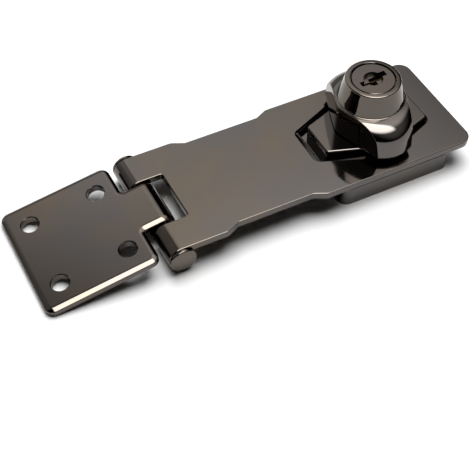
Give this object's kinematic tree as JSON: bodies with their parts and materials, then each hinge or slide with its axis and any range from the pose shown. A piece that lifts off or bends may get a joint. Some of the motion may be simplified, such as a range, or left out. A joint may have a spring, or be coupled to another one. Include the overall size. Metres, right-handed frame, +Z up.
{
  "type": "keyed hasp lock",
  "caption": "Hinged hasp arm that drops over a raised boss and is held down by a quarter-turn knob with a key cylinder in its head.",
  "frame": {"origin": "centre of the bounding box in plan, at the height of the base's seat", "axes": "+X along the arm from the hinge to the lock, +Z up, out of the door"},
  "size_m": [0.146, 0.0444, 0.0298],
  "materials": {
    "hasp_arm": "black nickel plating on sheet steel, mirror bright",
    "hinge_leaf": "black nickel plating on sheet steel, mirror bright",
    "hinge_pin": "black nickel plating, bright",
    "lock_base": "black nickel plating on a zinc casting, bright",
    "knob_housing": "black nickel plating on a zinc casting, bright",
    "key_plug": "black nickel plating on a zinc casting, satin on the face",
    "wafer_1": "bare stamped brass",
    "wafer_2": "bare stamped brass",
    "wafer_3": "bare stamped brass",
    "wafer_4": "bare stamped brass",
    "wafer_5": "bare stamped brass",
    "wafer_spring_1": "bare spring wire",
    "wafer_spring_2": "bare spring wire",
    "wafer_spring_3": "bare spring wire",
    "wafer_spring_4": "bare spring wire",
    "wafer_spring_5": "bare spring wire",
    "drive_crank": "zinc plated",
    "locking_bolt": "bare steel",
    "bolt_guide": "bare cast zinc",
    "spring_washer": "bare spring steel",
    "stop_washer": "zinc plated",
    "retaining_screw": "zinc plated"
  },
  "bodies": {
    "base_and_arm": {"lock_base": "lock_base", "hasp_arm": "hasp_arm", "hinge_pin": "hinge_pin"},
    "leaf": {"hinge_leaf": "hinge_leaf"},
    "knob": {"knob_housing": "knob_housing", "bolt_guide": "bolt_guide", "spring_washer": "spring_washer", "stop_washer": "stop_washer", "retaining_screw": "retaining_screw"},
    "plug": {"key_plug": "key_plug", "drive_crank": "drive_crank", "wafer_spring_1": "wafer_spring_1", "wafer_spring_2": "wafer_spring_2", "wafer_spring_3": "wafer_spring_3", "wafer_spring_4": "wafer_spring_4", "wafer_spring_5": "wafer_spring_5"},
    "bolt": {"locking_bolt": "locking_bolt"},
    "tumbler_1": {"wafer_1": "wafer_1"},
    "tumbler_2": {"wafer_2": "wafer_2"},
    "tumbler_3": {"wafer_3": "wafer_3"},
    "tumbler_4": {"wafer_4": "wafer_4"},
    "tumbler_5": {"wafer_5": "wafer_5"}
  },
  "joints": [
    {"name": "leaf_hinge", "type": "hinge", "parent": "base_and_arm", "child": "leaf", "pos_m": [-0.03026, 0, 0.0052], "axis": [0, 1, 0], "range_deg": [-169, 112]},
    {"name": "knob_turn", "type": "hinge", "parent": "base_and_arm", "child": "knob", "pos_m": [0.04554, 0, 0.0116], "axis": [0, 0, 1], "range_deg": [0, 90]},
    {"name": "plug_turn", "type": "hinge", "parent": "knob", "child": "plug", "pos_m": [0.04554, 0, 0.0296], "axis": [0, 0, 1], "range_deg": [0, 90]},
    {"name": "bolt_slide", "type": "slide", "parent": "knob", "child": "bolt", "axis": [1, 0, 0], "range_m": [0, 0.00198]},
    {"name": "wafer_slide_1", "type": "slide", "parent": "plug", "child": "tumbler_1", "axis": [1, 0, 0], "range_m": [0, 0.0009]},
    {"name": "wafer_slide_2", "type": "slide", "parent": "plug", "child": "tumbler_2", "axis": [1, 0, 0], "range_m": [0, 0.0009]},
    {"name": "wafer_slide_3", "type": "slide", "parent": "plug", "child": "tumbler_3", "axis": [1, 0, 0], "range_m": [0, 0.0009]},
    {"name": "wafer_slide_4", "type": "slide", "parent": "plug", "child": "tumbler_4", "axis": [1, 0, 0], "range_m": [0, 0.0009]},
    {"name": "wafer_slide_5", "type": "slide", "parent": "plug", "child": "tumbler_5", "axis": [1, 0, 0], "range_m": [0, 0.0009]}
  ],
  "couplings": [
    {"joint": "bolt_slide", "follows": "plug_turn", "m_per_rad": 0.0012603},
    {"joint": "wafer_slide_2", "follows": "wafer_slide_1", "ratio": 1},
    {"joint": "wafer_slide_3", "follows": "wafer_slide_1", "ratio": 1},
    {"joint": "wafer_slide_4", "follows": "wafer_slide_1", "ratio": 1},
    {"joint": "wafer_slide_5", "follows": "wafer_slide_1", "ratio": 1}
  ]
}
